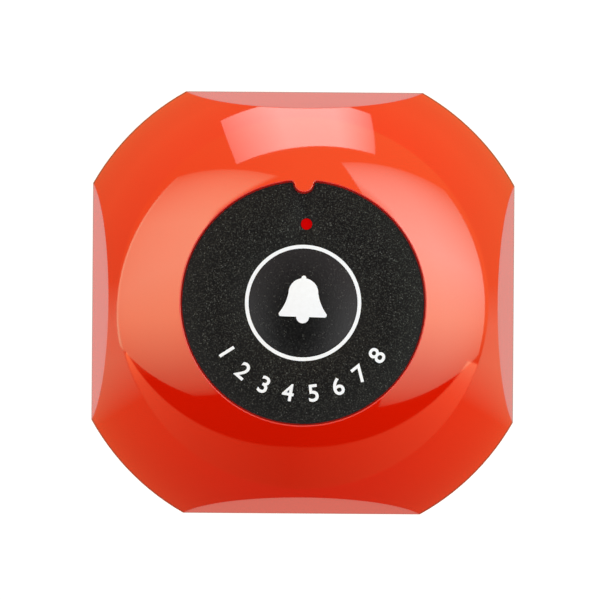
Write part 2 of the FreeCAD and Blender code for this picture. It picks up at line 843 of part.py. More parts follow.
# ---- Antenna coil ----
def antenna_coil():
    """Wound coil that lies along X over the board, with a straight leg at each end."""
    rise = coil_pitch / (2.0 * math.pi)
    climb = coil_length()
    helix = Part.makeHelix(coil_pitch, climb, coil_radius)
    run = coil_leg_length() * rise / coil_radius
    first_top = vec(coil_radius, 0, 0)
    first_tip = vec(coil_radius, -coil_leg_length(), -run)
    last_top = vec(-coil_radius, 0, climb)
    last_tip = vec(-coil_radius, -coil_leg_length(), climb + run)
    edges = [Part.LineSegment(first_tip, first_top).toShape()]
    edges += helix.Edges
    edges.append(Part.LineSegment(last_top, last_tip).toShape())
    coil = sweep_round(Part.Wire(edges), coil_wire_radius, first_tip, first_top - first_tip)
    # The helix is wound round Z with its legs toward -Y: turn it so that Z becomes X and -Y becomes -Z.
    coil.rotate(vec(0, 0, 0), vec(1, 1, 1), 120.0)
    coil.translate(vec(-climb / 2.0, coil_y, coil_axis_z()))
    return coil


# ---- Board parts ----
def encoder_chip():
    low_z = board_top_z + chip_standoff
    return box_on(chip_x, middle_row_y, chip_width, chip_length, low_z, low_z + chip_height)


def encoder_chip_pins():
    """Bent pins in two rows, from the chip's sides down to the board."""
    pins = []
    shoulder_z = board_top_z + chip_standoff + chip_height / 2.0
    low_x = chip_x + chip_width / 2.0
    for index in range(chip_pin_count):
        y = middle_row_y + (index - (chip_pin_count - 1) / 2.0) * chip_pin_pitch
        low_y = y - chip_pin_width / 2.0
        high_y = y + chip_pin_width / 2.0
        bend_x = low_x + chip_pin_reach - chip_pin_foot
        arm = box(low_x, bend_x, low_y, high_y, shoulder_z - chip_pin_thickness, shoulder_z)
        post = box(bend_x - chip_pin_thickness, bend_x, low_y, high_y, board_top_z, shoulder_z)
        foot = box(
            bend_x, low_x + chip_pin_reach, low_y, high_y, board_top_z, board_top_z + chip_pin_thickness
        )
        pin = arm.multiFuse([post, foot]).removeSplitter()
        pins += [pin, pin.mirror(vec(chip_x, 0, 0), vec(1, 0, 0))]
    return Part.makeCompound(pins)


def crystal_can():
    """Flat oval metal can of the frequency crystal."""
    half_round = crystal_width / 2.0
    straight = crystal_length - crystal_width
    top_z = board_top_z + crystal_height
    ends = [
        cylinder(half_round, board_top_z, top_z, crystal_x + side * straight / 2.0, middle_row_y)
        for side in (-1, 1)
    ]
    middle = box_on(crystal_x, middle_row_y, straight, crystal_width, board_top_z, top_z)
    return middle.multiFuse(ends).removeSplitter()


def crystal_leads():
    leads = [cylinder(crystal_lead_radius, tail_z, board_top_z, x, y) for x, y in crystal_lead_places()]
    return Part.makeCompound(leads)


def rf_transistor():
    top_z = board_top_z + transistor_height
    return box_on(transistor_x, upper_row_y, transistor_length, transistor_width, board_top_z, top_z)


def small_parts(places, height):
    blocks = [
        box_on(x, y, small_part_length, small_part_width, board_top_z, board_top_z + height)
        for x, y in places
    ]
    return Part.makeCompound(blocks)


def resistor_row_y():
    return notch_edge_y() + small_part_row_margin


def chip_resistors():
    return small_parts([(x, resistor_row_y()) for x in resistor_row_x], resistor_height)


def chip_capacitors():
    """Two capacitors halfway between the resistors and the middle row, and two in the upper row."""
    chip_edge_y = middle_row_y - chip_length / 2.0
    lower_y = (resistor_row_y() + chip_edge_y) / 2.0
    places = [(side * lower_capacitor_x, lower_y) for side in (-1, 1)]
    places += [(side * upper_capacitor_x, upper_row_y) for side in (-1, 1)]
    return small_parts(places, capacitor_height)


NODES = (
    upper_shell,
    face_label,
    label_ring_print,
    base_plate,
    base_gasket,
    base_screws,
    adhesive_pad,
    release_liner,
    button_dome,
    button_plunger,
    bell_print,
    circuit_board,
    board_screws,
    switch_body,
    switch_cover_plate,
    switch_terminals,
    switch_snap_dome,
    switch_stem,
    lamp_lens,
    lamp_window,
    lamp_leads,
    lamp_spacer,
    battery_can,
    battery_wrap,
    battery_spring,
    plate_contact,
    spring_contact,
    antenna_coil,
    encoder_chip,
    encoder_chip_pins,
    crystal_can,
    crystal_leads,
    rf_transistor,
    chip_resistors,
    chip_capacitors,
)

os.makedirs("parts", exist_ok=True)
for build_node in NODES:
    name = build_node.__name__
    shape = build_node()
    shape.exportStep(f"parts/{name}.step")
    extent = shape.optimalBoundingBox(True, False)
    print(f"{name}: solids {len(shape.Solids)}, volume {shape.Volume:.2f}, valid {shape.isValid()},")
    print(f"    x {extent.XMin:.2f}..{extent.XMax:.2f}, y {extent.YMin:.2f}..{extent.YMax:.2f},")
    print(f"    z {extent.ZMin:.2f}..{extent.ZMax:.2f}")
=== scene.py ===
"""Looks of the waiter call button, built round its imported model.

Metres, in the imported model's frame: the origin is the middle of the rest face, +Z points up out
of the button, +Y points at the signal lamp and +X is to the right when the bell is upright.
"""

import json
import logging
import math
from dataclasses import dataclass
from enum import Enum
from typing import Callable, Iterable

import bmesh
import bpy
from mathutils import Matrix, Vector


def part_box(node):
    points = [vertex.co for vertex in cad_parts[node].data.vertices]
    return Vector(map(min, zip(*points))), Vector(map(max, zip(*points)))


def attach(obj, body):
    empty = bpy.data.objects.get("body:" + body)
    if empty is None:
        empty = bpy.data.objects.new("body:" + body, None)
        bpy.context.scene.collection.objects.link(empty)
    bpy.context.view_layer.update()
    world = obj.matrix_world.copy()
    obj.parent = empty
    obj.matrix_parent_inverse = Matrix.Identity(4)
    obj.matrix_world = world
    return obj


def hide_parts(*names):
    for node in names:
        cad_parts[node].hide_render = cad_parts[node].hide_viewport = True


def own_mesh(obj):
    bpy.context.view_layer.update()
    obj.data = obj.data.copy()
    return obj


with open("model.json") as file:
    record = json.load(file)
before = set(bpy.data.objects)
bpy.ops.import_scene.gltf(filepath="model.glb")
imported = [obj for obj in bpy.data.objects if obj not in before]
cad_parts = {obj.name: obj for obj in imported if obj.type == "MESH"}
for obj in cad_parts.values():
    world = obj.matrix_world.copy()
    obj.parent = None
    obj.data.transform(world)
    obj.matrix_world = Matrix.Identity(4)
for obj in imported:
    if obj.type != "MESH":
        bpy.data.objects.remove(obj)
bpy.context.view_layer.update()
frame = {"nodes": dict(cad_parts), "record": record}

logging.basicConfig(level=logging.INFO, format="%(message)s")
log = logging.getLogger("call_button")

Colour = tuple[float, float, float]
Point = tuple[float, float, float]
Pair = tuple[float, float]
Inputs = dict[str, object]
Node = bpy.types.Node
Socket = bpy.types.NodeSocket
Sockets = bpy.types.NodeOutputs
Piece = bpy.types.Object
Mesh = bmesh.types.BMesh

MM = 0.001
WELD = 1.0e-7
FULL_TURN = math.tau
STUDIO_TURN_DEG = 0.42
NOISE_BAND: Pair = (0.3, 0.7)
WORN_BAND: Pair = (0.42, 0.6)
BLACK: Colour = (0.0, 0.0, 0.0)
WHITE: Colour = (1.0, 1.0, 1.0)


# ---- Nodes ----
class NodeSheet:
    """Adds shader nodes to one tree and links them."""

    def __init__(self, tree: bpy.types.NodeTree) -> None:
        """Keeps the tree. A material also sets the spot that its patterns start from."""
        self.tree = tree
        self.spot: Socket | None = None

    def feed(self, node: Node, inputs: dict) -> None:
        """Fills a node's inputs, by name or number, with other nodes' sockets or plain values."""
        for key, value in inputs.items():
            target = node.inputs[key]
            if isinstance(value, Socket):
                self.tree.links.new(value, target)
            elif hasattr(target.default_value, "__len__") and len(target.default_value) == 4:
                target.default_value = (*value, 1.0)
            else:
                target.default_value = value

    def find(self, kind: str) -> Node:
        """The tree's first node of a type."""
        return next(node for node in self.tree.nodes if node.type == kind)

    def add(self, kind: str, inputs: dict | None = None, **settings: object) -> Node:
        """Adds one node.

        Args:
            kind: Blender's name of the node type.
            inputs: Values or sockets for its inputs, by name or number.
            settings: Properties, which are set first.

        Returns:
            The new node.
        """
        node = self.tree.nodes.new(kind)
        for name, value in settings.items():
            setattr(node, name, value)
        self.feed(node, inputs or {})
        return node

    def axes(self, vector: Socket) -> tuple[Socket, ...]:
        """X, Y and Z of a vector."""
        return tuple(self.add("ShaderNodeSeparateXYZ", {"Vector": vector}).outputs)

    def math(self, operation: str, first: object, second: object = 0.0) -> Socket:
        """Adds a Math node and returns its value."""
        return self.add("ShaderNodeMath", {0: first, 1: second}, operation=operation).outputs[0]

    def noise(self, spot: Socket, scale: object, detail: float = 2.0, rough: float = 0.5) -> Socket:
        """Adds a Noise Texture node and returns its value."""
        inputs = {"Vector": spot, "Scale": scale, "Detail": detail, "Roughness": rough}
        return self.add("ShaderNodeTexNoise", inputs).outputs["Fac"]

    def remap(
        self, value: object, start: object, end: object, low: object = 0.0, high: object = 1.0
    ) -> Socket:
        """Maps a value from start..end to low..high, and clamps it."""
        inputs = {"Value": value, "From Min": start, "From Max": end, "To Min": low, "To Max": high}
        return self.add("ShaderNodeMapRange", inputs).outputs["Result"]

    def blend(self, factor: object, first: object, second: object) -> Socket:
        """Mixes two colours: the first at a factor of 0, the second at 1."""
        return self.add("ShaderNodeMix", {0: factor, 6: first, 7: second}, data_type="RGBA").outputs[2]


class Effect(Enum):
    """Surface effects that several finishes share, each a node group."""

    GRAIN = "fine_grain"
    SPECKS = "loose_specks"
    DRIFT = "tone_drift"
    LINES = "drawn_lines"
    WEAR = "edge_wear"


class EffectShelf:
    """Builds each shared node group once and places it in materials."""

    def __init__(self) -> None:
        """Lists the effects, with no group built yet."""
        self.trees: dict[Effect, bpy.types.NodeTree] = {}
        self.kinds: dict[Effect, tuple[Callable[[NodeSheet, Sockets], Socket], dict[str, str]]] = {
            Effect.GRAIN: (self.grain, {"Low": "Float", "High": "Float"}),
            Effect.SPECKS: (self.specks, {"Share": "Float", "Size": "Float"}),
            Effect.DRIFT: (self.drift, {"Colour": "Color", "Amount": "Float"}),
            Effect.LINES: (self.lines, {"Stretch": "Vector"}),
            Effect.WEAR: (self.wear, {"Start": "Float", "End": "Float"}),
        }

    def grain(self, sheet: NodeSheet, given: Sockets) -> Socket:
        """Fine noise between a low and a high value."""
        noise = sheet.noise(given["Vector"], given["Scale"], 3.0, 0.6)
        return sheet.remap(noise, *NOISE_BAND, given["Low"], given["High"])

    def specks(self, sheet: NodeSheet, given: Sockets) -> Socket:
        """Round specks in a share of the cells of a scattered pattern."""
        inputs = {"Vector": given["Vector"], "Scale": given["Scale"]}
        cells = sheet.add("ShaderNodeTexVoronoi", inputs).outputs
        lot = sheet.add("ShaderNodeSeparateColor", {"Color": cells["Color"]}).outputs
        chosen = sheet.math("LESS_THAN", lot["Red"], given["Share"])
        size = sheet.math("MULTIPLY", given["Size"], lot["Green"])
        return sheet.math("MULTIPLY", chosen, sheet.math("LESS_THAN", cells["Distance"], size))

    def drift(self, sheet: NodeSheet, given: Sockets) -> Socket:
        """A colour whose brightness drifts slowly over the surface."""
        noise = sheet.noise(given["Vector"], given["Scale"])
        low = sheet.math("SUBTRACT", 1.0, given["Amount"])
        high = sheet.math("ADD", 1.0, given["Amount"])
        inputs = {0: given["Colour"], "Scale": sheet.remap(noise, *NOISE_BAND, low, high)}
        return sheet.add("ShaderNodeVectorMath", inputs, operation="SCALE").outputs["Vector"]

    def lines(self, sheet: NodeSheet, given: Sockets) -> Socket:
        """Noise stretched into fine drawn lines."""
        inputs = {0: given["Vector"], 1: given["Stretch"]}
        stretched = sheet.add("ShaderNodeVectorMath", inputs, operation="MULTIPLY")
        return sheet.noise(stretched.outputs[0], given["Scale"], 4.0)

    def wear(self, sheet: NodeSheet, given: Sockets) -> Socket:
        """Mask of rubbed edges, broken up by noise."""
        point = sheet.add("ShaderNodeNewGeometry").outputs["Pointiness"]
        edge = sheet.remap(point, given["Start"], given["End"])
        broken = sheet.remap(sheet.noise(given["Vector"], given["Scale"]), *WORN_BAND)
        return sheet.math("MULTIPLY", edge, broken)

    def build(self, effect: Effect) -> bpy.types.NodeTree:
        """Builds the node group of one effect."""
        tree = bpy.data.node_groups.new(effect.value, "ShaderNodeTree")
        paint, inputs = self.kinds[effect]
        for name, kind in {"Vector": "Vector", "Scale": "Float", **inputs}.items():
            tree.interface.new_socket(name, in_out="INPUT", socket_type=f"NodeSocket{kind}")
        kind = "Color" if effect is Effect.DRIFT else "Float"
        tree.interface.new_socket("Result", in_out="OUTPUT", socket_type=f"NodeSocket{kind}")
        sheet = NodeSheet(tree)
        given = sheet.add("NodeGroupInput").outputs
        sheet.add("NodeGroupOutput", {"Result": paint(sheet, given)})
        self.trees[effect] = tree
        return tree

    def place(self, sheet: NodeSheet, effect: Effect, scale: float, **more: object) -> Socket:
        """Places an effect, as fine as its scale, and returns its result."""
        tree = self.trees.get(effect) or self.build(effect)
        inputs = {"Vector": sheet.spot, "Scale": scale, **more}
        return sheet.add("ShaderNodeGroup", inputs, node_tree=tree).outputs["Result"]


SHELF = EffectShelf()


# ---- Finishes ----
@dataclass(frozen=True)
class Finish:
    """A material's name, colour and roughness, and the patterns that vary them.

    Drift is how fine the colour's brightness varies, and by what share. Grain is how fine the
    roughness varies, and its least and greatest share. Depth is the relief's, in metres.
    """

    name: str
    colour: Colour
    roughness: float
    drift: Pair = (250.0, 0.05)
    grain: Point = (1500.0, 0.9, 1.1)
    depth: float = 1.0e-6

    def paint(self, sheet: NodeSheet) -> Inputs:
        """What goes into the shader's inputs; each finish has its own way."""
        raise NotImplementedError

    def tone(self, sheet: NodeSheet) -> Socket:
        """The colour, with its drift."""
        scale, amount = self.drift
        return SHELF.place(sheet, Effect.DRIFT, scale, Colour=self.colour, Amount=amount)

    def dull(self, sheet: NodeSheet) -> Socket:
        """The roughness, with its grain."""
        scale, low, high = self.grain
        ends = {"Low": self.roughness * low, "High": self.roughness * high}
        return SHELF.place(sheet, Effect.GRAIN, scale, **ends)

    def specks(self, sheet: NodeSheet, pattern: Point) -> Socket:
        """Specks, from how fine their pattern is, their share and their size."""
        scale, share, size = pattern
        return SHELF.place(sheet, Effect.SPECKS, scale, Share=share, Size=size)

    def relief(self, sheet: NodeSheet, height: Socket) -> Socket:
        """The normal of a relief, from a height of 0 to 1."""
        inputs = {"Height": height, "Distance": self.depth}
        return sheet.add("ShaderNodeBump", inputs).outputs["Normal"]

    def material(self) -> bpy.types.Material:
        """Makes the Blender material, once for each finish."""
        made = bpy.data.materials.get(self.name)
        if made is None:
            made = bpy.data.materials.new(self.name)
            made.use_nodes = True
            made.diffuse_color = (*self.colour, 1.0)
            sheet = NodeSheet(made.node_tree)
            sheet.spot = sheet.add("ShaderNodeTexCoord").outputs["Object"]
            sheet.feed(sheet.find("BSDF_PRINCIPLED"), self.paint(sheet))
        return made


@dataclass(frozen=True)
class GlossMoulding(Finish):
    """High gloss moulded plastic with a faint ripple and a few specks of dust.

    Below the foot height, which is counted from the table, the moulding is painted darker: a painted
    shade in place of the contact shadow round its foot.
    """

    drift: Pair = (60.0, 0.02)
    grain: Point = (150.0, 0.8, 1.3)
    depth: float = 1.2e-6
    refraction: float = 1.5
    ripple_scale: float = 90.0
    dust: Point = (420.0, 0.02, 0.05)
    dust_dull: float = 0.5
    dust_colour: Colour = (0.8, 0.45, 0.4)
    foot_shade_height: float = 0.0
    foot_shade_soft: float = 0.1 * MM
    foot_shade_share: float = 0.4

    def paint(self, sheet: NodeSheet) -> Inputs:
        """Paints the moulding's colour, dust, gloss and ripple, and the painted shade at its foot."""
        dust = self.specks(sheet, self.dust)
        foot = (self.foot_shade_height - self.foot_shade_soft, self.foot_shade_height + self.foot_shade_soft)
        share = sheet.remap(sheet.axes(sheet.spot)[2], *foot, self.foot_shade_share)
        # Painted shade: the colour is darkened below the foot height, in place of the contact shadow
        # there.
        foot_shaded = sheet.blend(share, BLACK, self.tone(sheet))
        dusty = sheet.math("MULTIPLY", dust, self.dust_dull)
        return {
            "Base Color": sheet.blend(dust, foot_shaded, self.dust_colour),
            "Roughness": sheet.math("ADD", self.dull(sheet), dusty),
            "IOR": self.refraction,
            "Normal": self.relief(sheet, sheet.noise(sheet.spot, self.ripple_scale, 1.0)),
        }


@dataclass(frozen=True)
class SatinMoulding(Finish):
    """Moulded plastic or rubber with a fine even texture and rubbed edges."""

    drift: Pair = (180.0, 0.06)
    grain: Point = (5000.0, 0.88, 1.12)
    depth: float = 6.0e-6
    sheen: float = 0.0
    wear_scale: float = 900.0
    wear_band: Pair = (0.53, 0.62)
    wear_gain: float = 1.35
    wear_lift: float = 0.02

    def paint(self, sheet: NodeSheet) -> Inputs:
        """Paints the mottled colour, the texture and rubbed edges."""
        start, end = self.wear_band
        wear = SHELF.place(sheet, Effect.WEAR, self.wear_scale, Start=start, End=end)
        pale = tuple(channel * self.wear_gain + self.wear_lift for channel in self.colour)
        height = SHELF.place(sheet, Effect.GRAIN, self.grain[0], Low=0.0, High=1.0)
        return {
            "Base Color": sheet.blend(wear, self.tone(sheet), pale),
            "Roughness": self.dull(sheet),
            "Sheen Weight": self.sheen,
            "Normal": self.relief(sheet, height),
        }


@dataclass(frozen=True)
class GrainedFilm(Finish):
    """Dark printed film with a sandy grain and fine bright flecks, which are painted glints of the
    grain.
    """

    grain: Point = (4600.0, 0.85, 1.0)
    depth: float = 2.5e-5
    light: Colour = (0.0245, 0.0265, 0.027)
    light_band: Pair = (0.5, 0.7)
    glint_colour: Colour = (0.056, 0.06, 0.062)
    glint_specks: Point = (5500.0, 0.12, 0.6)
    specular: float = 0.2

    def paint(self, sheet: NodeSheet) -> Inputs:
        """Paints the grain, its flecks as painted glints, and a soft wide gloss."""
        fine = sheet.remap(sheet.noise(sheet.spot, self.grain[0]), *self.light_band)
        shade = sheet.blend(fine, self.colour, self.light)
        return {
            # Painted glints: small bright specks in the colour stand in for the grain's sparkle.
            "Base Color": sheet.blend(self.specks(sheet, self.glint_specks), shade, self.glint_colour),
            "Roughness": self.dull(sheet),
            "Specular IOR Level": self.specular,
            "Normal": self.relief(sheet, fine),
        }


@dataclass(frozen=True)
class PrintedInk(Finish):
    """Opaque screen-printed ink that lets a little of the film's grain through."""

    drift: Pair = (1500.0, 0.02)
    grain: Point = (4000.0, 0.9, 1.1)
    depth: float = 4.0e-6
    coat_scale: float = 3600.0

    def paint(self, sheet: NodeSheet) -> Inputs:
        """Paints the ink's slightly uneven coverage."""
        height = SHELF.place(sheet, Effect.GRAIN, self.coat_scale, Low=0.0, High=1.0)
        return {
            "Base Color": self.tone(sheet),
            "Roughness": self.dull(sheet),
            "Normal": self.relief(sheet, height),
        }


@dataclass(frozen=True)
class DrawnMetal(Finish):
    """Plated or bare metal with fine drawn lines, which are also its grain."""

    drift: Pair = (300.0, 0.05)
    grain: Point = (9000.0, 0.75, 1.3)
    depth: float = 1.5e-6
    stretch: Point = (0.08, 1.0, 1.0)
    tarnish: Colour = (0.35, 0.3, 0.22)
    spot_scale: float = 700.0
    spot_band: Pair = (-0.25, 0.22)

    def paint(self, sheet: NodeSheet) -> Inputs:
        """Paints the metal, a little tarnish and the lines."""
        low, high = self.spot_band
        spots = SHELF.place(sheet, Effect.GRAIN, self.spot_scale, Low=low, High=high)
        share = sheet.math("MAXIMUM", spots)
        scale, low, high = self.grain
        lines = SHELF.place(sheet, Effect.LINES, scale, Stretch=self.stretch)
        return {
            "Base Color": sheet.blend(share, self.tone(sheet), self.tarnish),
            "Metallic": 1.0,
            "Roughness": sheet.remap(lines, *NOISE_BAND, self.roughness * low, self.roughness * high),
            "Normal": self.relief(sheet, lines),
        }


@dataclass(frozen=True)
class SolderMask(Finish):
    """Circuit board lacquer over copper tracks, with small plated holes."""

    drift: Pair = (150.0, 0.08)
    depth: float = 2.0e-5
    track: Colour = (0.05, 0.34, 0.13)
    track_scale: float = 330.0
    track_scatter: float = 0.55
    track_band: Pair = (0.07, 0.09)
    pad: Colour = (0.7, 0.66, 0.58)
    pad_metal: float = 0.9
    holes: Point = (420.0, 0.2, 0.22)

    def paint(self, sheet: NodeSheet) -> Inputs:
        """Paints the tracks as paler raised lines and the holes as bare spots."""
        inputs = {"Vector": sheet.spot, "Scale": self.track_scale, "Randomness": self.track_scatter}
        cells = sheet.add("ShaderNodeTexVoronoi", inputs, feature="DISTANCE_TO_EDGE")
        tracks = sheet.remap(cells.outputs["Distance"], *self.track_band, 1.0, 0.0)
        lacquer = sheet.blend(tracks, self.tone(sheet), self.track)
        holes = self.specks(sheet, self.holes)
        return {
            "Base Color": sheet.blend(holes, lacquer, self.pad),
            "Metallic": sheet.math("MULTIPLY", holes, self.pad_metal),
            "Roughness": self.roughness,
            "Normal": self.relief(sheet, tracks),
        }


@dataclass(frozen=True)
class TintedEpoxy(Finish):
    """Deeply tinted resin."""

    drift: Pair = (900.0, 0.08)
    grain: Point = (1200.0, 0.7, 1.4)
    specular: float = 0.03

    def paint(self, sheet: NodeSheet) -> Inputs:
        """Paints the resin with faint streaks of its tint."""
        return {
            "Base Color": self.tone(sheet),
            "Roughness": self.dull(sheet),
            "Specular IOR Level": self.specular,
        }


@dataclass(frozen=True)
class ShrinkSleeve(Finish):
    """Printed shrink sleeve of a cell: a dark body with a pale band near the nub end."""

    drift: Pair = (400.0, 0.06)
    grain: Point = (600.0, 0.8, 1.3)
    depth: float = 1.2e-5
    band: Colour = (0.75, 0.55, 0.12)
    band_start: float = 7.0 * MM
    band_end: float = 11.0 * MM
    wrinkle_scale: float = 500.0
    stretch: Point = (0.3, 1.0, 1.0)

    def paint(self, sheet: NodeSheet) -> Inputs:
        """Paints the band across the sleeve and its wrinkled gloss."""
        along = sheet.axes(sheet.spot)[0]
        after = sheet.math("GREATER_THAN", along, self.band_start)
        before = sheet.math("LESS_THAN", along, self.band_end)
        share = sheet.math("MULTIPLY", after, before)
        wrinkles = SHELF.place(sheet, Effect.LINES, self.wrinkle_scale, Stretch=self.stretch)
        return {
            "Base Color": sheet.blend(share, self.tone(sheet), self.band),
            "Roughness": self.dull(sheet),
            "Normal": self.relief(sheet, wrinkles),
        }


@dataclass(frozen=True)
class PressedFibre(Finish):
    """Foam or paper: pores or fibres in a pale body."""

    drift: Pair = (250.0, 0.04)
    grain: Point = (1500.0, 0.9, 1.0)
    depth: float = 1.0e-5
    pores: Point = (2500.0, 0.5, 0.45)
    pore_shade: float = 0.8
    fibre_scale: float = 2200.0
    stretch: Point = (1.0, 0.35, 1.0)

    def paint(self, sheet: NodeSheet) -> Inputs:
        """Paints the body, its darker pores and the uneven surface."""
        pores = self.specks(sheet, self.pores)
        deep = tuple(channel * self.pore_shade for channel in self.colour)
        fibres = SHELF.place(sheet, Effect.LINES, self.fibre_scale, Stretch=self.stretch)
        return {
            "Base Color": sheet.blend(pores, self.tone(sheet), deep),
            "Roughness": self.dull(sheet),
            "Normal": self.relief(sheet, sheet.math("SUBTRACT", fibres, pores)),
        }


SLOT_FINISHES: dict[str, Finish] = {
    # The case's foot height is where the painted shade at its foot starts.
    "case_plastic": GlossMoulding(
        "gloss_red_moulding", (0.63, 0.008, 0.0004), 0.045, refraction=1.8, foot_shade_height=1.3 * MM
    ),
    "base_plastic": SatinMoulding("satin_red_moulding", (0.62, 0.03, 0.008), 0.5, (180.0, 0.025)),
    "label_film": GrainedFilm("grained_black_film", (0.001, 0.001, 0.001), 0.4),
    "white_ink": PrintedInk("white_screen_ink", (0.76, 0.8, 0.97), 0.5),
    "plunger_plastic": SatinMoulding("natural_satin_plastic", (0.62, 0.62, 0.6), 0.45),
    "seal_rubber": SatinMoulding(
        "grey_seal_rubber", (0.42, 0.42, 0.4), 0.75, grain=(3000.0, 0.88, 1.12), sheen=0.2
    ),
    "pad_foam": PressedFibre("white_pad_foam", (0.82, 0.82, 0.8), 0.9),
    "liner_paper": PressedFibre(
        "waxed_liner_paper", (0.74, 0.66, 0.46), 0.6, depth=4.0e-6, pores=(2500.0, 0.12, 0.45)
    ),
    "screw_steel": DrawnMetal("zinc_plated_screw", (0.62, 0.63, 0.64), 0.3, stretch=(1.0, 1.0, 0.1)),
    "contact_steel": DrawnMetal("nickel_plated_strip", (0.74, 0.72, 0.67), 0.25),
    "board_laminate": SolderMask("green_board_lacquer", (0.02, 0.19, 0.07), 0.35),
    "black_plastic": SatinMoulding("black_satin_nylon", (0.02, 0.02, 0.021), 0.42),
    "lamp_epoxy": TintedEpoxy("tinted_lamp_resin", (0.46, 0.0, 0.0), 0.3),
    "wrap_film": ShrinkSleeve("printed_cell_sleeve", (0.03, 0.045, 0.16), 0.28),
    "coil_copper": DrawnMetal(
        "enamelled_copper_wire", (0.72, 0.34, 0.16), 0.28, tarnish=(0.45, 0.16, 0.06)
    ),
    "chip_ceramic": SatinMoulding(
        "sintered_chip_body", (0.48, 0.35, 0.23), 0.6, grain=(7000.0, 0.88, 1.12)
    ),
}
# The button's film has the same painted glints, dimmer.
BUTTON_FILM = GrainedFilm(
    "smooth_black_film", (0.0005, 0.0005, 0.0005), 0.2, depth=5.0e-6,
    light=(0.0095, 0.01, 0.01), glint_colour=(0.03, 0.032, 0.032), specular=0.5,
)


# ---- Mesh work ----
def placed(name: str, data: bpy.types.ID) -> Piece:
    """Links new data into the scene, as an object at the origin."""
    made = bpy.data.objects.new(name, data)
    bpy.context.scene.collection.objects.link(made)
    return made


def bare_piece(name: str, bm: Mesh) -> Piece:
    """Turns a bmesh, which is freed, into an object at the origin."""
    mesh = bpy.data.meshes.new(name)
    bm.to_mesh(mesh)
    bm.free()
    return placed(name, mesh)


def new_piece(name: str, bm: Mesh, slot: str, finish: Finish | None = None) -> Piece:
    """Turns a bmesh into a dressed object at the origin.

    Args:
        name: Name of the piece.
        bm: Its mesh, which is freed.
        slot: The record's material slot.
        finish: Its finish, or None for the slot's own.

    Returns:
        The linked object.
    """
    piece = bare_piece(name, bm)
    stale = piece.data.attributes.get("custom_normal")
    if stale is not None:
        piece.data.attributes.remove(stale)
    finish = finish or SLOT_FINISHES[slot]
    piece.data.materials.append(finish.material())
    log.info("%s: %d faces in %s", name, len(piece.data.polygons), finish.name)
    return piece


def welded_copy(node: str) -> Mesh:
    """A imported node's mesh with its loose triangles joined."""
    bm = bmesh.new()
    bm.from_mesh(frame["nodes"][node].data)
    bmesh.ops.remove_doubles(bm, verts=bm.verts, dist=WELD)
    return bm


def turned_body(profile: list[tuple[float, float]], steps: int) -> Mesh:
    """Closed body turned round the Z axis.

    Args:
        profile: Radius and height of each point, from the axis and back to the axis.
        steps: How many faces go round.

    Returns:
        Its mesh, with its poles joined and its faces outward.
    """
    bm = bmesh.new()
    points = [bm.verts.new((radius, 0.0, height)) for radius, height in profile]
    edges = [bm.edges.new(pair) for pair in zip(points, points[1:])]
    bmesh.ops.spin(
        bm, geom=points + edges, cent=(0.0, 0.0, 0.0), axis=(0.0, 0.0, 1.0),
        angle=FULL_TURN, steps=steps, use_merge=True,
    )
    bmesh.ops.remove_doubles(bm, verts=bm.verts, dist=WELD)
    bmesh.ops.recalc_face_normals(bm, faces=bm.faces)
    return bm


def soften(piece: Piece, angle_deg: float) -> None:
    """Shades a piece smooth, except across edges sharper than an angle."""
    piece.data.shade_smooth()
    piece.data.set_sharp_from_angle(angle=math.radians(angle_deg))


# ---- Case ----
@dataclass
class CaseAssembly:
    """The gloss dome with its flat sides and the sunk label seat."""

    dome_radius: float = 37.271 * MM
    dome_centre_height: float = -13.545 * MM
    flat_draft_deg: float = 14.3
    on_dome: float = 0.004 * MM
    near_deg: float = 40.0
    flat_match: float = 0.99999

    def flat_normals(self) -> list[Vector]:
        """Outward directions of the four flat sides."""
        draft = math.radians(self.flat_draft_deg)
        tilted = Vector((math.cos(draft), 0.0, math.sin(draft)))
        return [Matrix.Rotation(quarter * FULL_TURN / 4.0, 3, "Z") @ tilted for quarter in range(4)]

    def corner_normal(self, loop: bmesh.types.BMLoop, flats: list[Vector]) -> Vector:
        """Shading direction at one face corner.

        Args:
            loop: The face corner.
            flats: Directions of the flat sides.

        Returns:
            The dome's own direction on the dome, else the mean of the faces round it.
        """
        normal = loop.face.normal
        near = math.cos(math.radians(self.near_deg))
        radial = loop.vert.co - Vector((0.0, 0.0, self.dome_centre_height))
        outward = radial.normalized()
        is_flat = any(normal.dot(flat) > self.flat_match for flat in flats)
        on_dome = abs(radial.length - self.dome_radius) < self.on_dome
        if on_dome and not is_flat and normal.dot(outward) > near:
            return outward
        faces = [face for face in loop.vert.link_faces if face.normal.dot(normal) > near]
        total = sum((face.normal * face.calc_area() for face in faces), Vector())
        return total.normalized()

    def build(self) -> None:
        """Builds the case shell, welded and with the dome's exact shading."""
        bm = welded_copy("upper_shell")
        bm.normal_update()
        flats = self.flat_normals()
        normals = [self.corner_normal(loop, flats) for face in bm.faces for loop in face.loops]
        for face in bm.faces:
            face.smooth = True
        piece = new_piece("case_shell", bm, "case_plastic")
        piece.data.normals_split_custom_set(normals)
        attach(piece, "housing")
        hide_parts("upper_shell")


